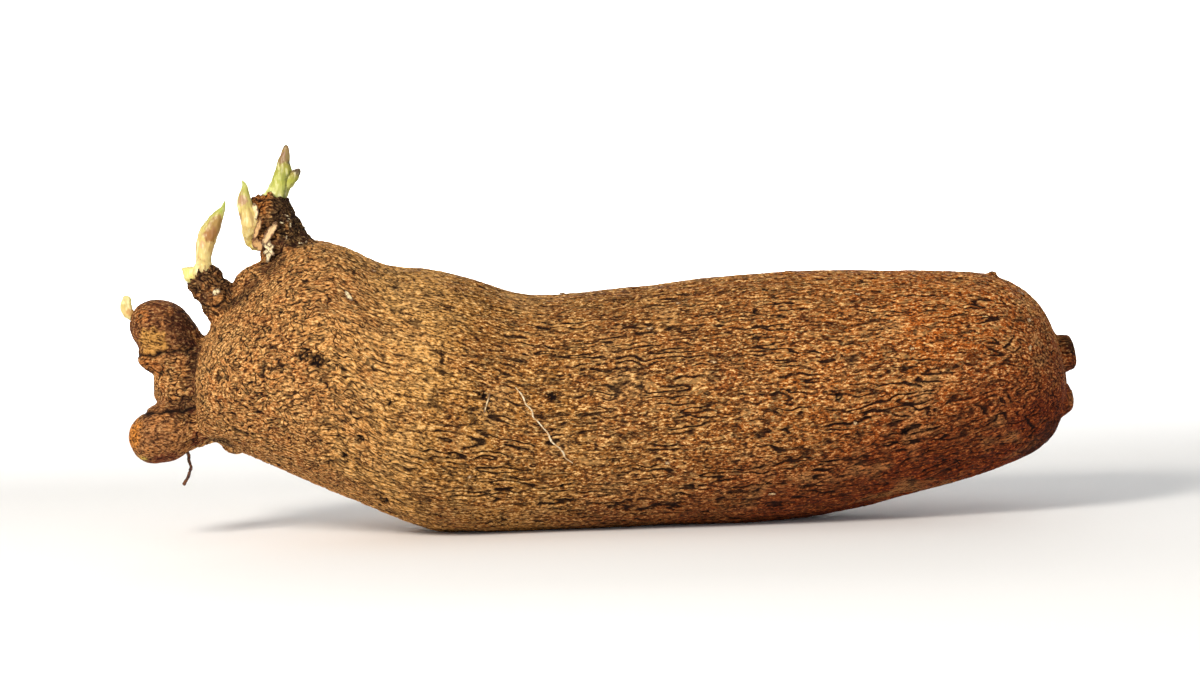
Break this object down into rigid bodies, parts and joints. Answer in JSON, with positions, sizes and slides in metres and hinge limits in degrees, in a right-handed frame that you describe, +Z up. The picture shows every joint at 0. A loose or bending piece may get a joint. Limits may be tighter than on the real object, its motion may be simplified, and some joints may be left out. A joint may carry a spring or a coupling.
{
  "type": "yam tuber",
  "caption": "Long brown yam tuber resting on its belly, with a knobbly crown that carries young shoots, a bud, papery scales and rootlets.",
  "frame": {"origin": "on the resting plane, under the middle of the bounding box", "axes": "+X along the tuber from its crown to its tail, +Z up through the shoots, +Y away from the side on which the papery scales stand"},
  "size_m": [0.3816, 0.1082, 0.1568],
  "materials": {
    "skin": "rough, wrinkled brown bark-like skin",
    "green_shoot": "smooth, slightly waxy yellow-green",
    "pale_shoot": "smooth pale cream-yellow with brown-pink streaks",
    "papery_scale": "dry, dull cream and pinkish tan",
    "dark_root": "dry dark brown",
    "pale_root": "dry whitish"
  },
  "bodies": {
    "root": {"tuber": "skin", "forked_shoot": "green_shoot", "shoot_bract": "green_shoot", "pointed_shoot": "pale_shoot", "hooked_shoot": "pale_shoot", "knob_bud": "pale_shoot", "bud_scale_top": "papery_scale", "bud_scale_long": "papery_scale", "bud_scale_broad": "papery_scale", "bud_scale_outer": "papery_scale", "bud_scale_low": "papery_scale", "crown_rootlet": "dark_root", "hair_root": "pale_root"}
  },
  "joints": []
}
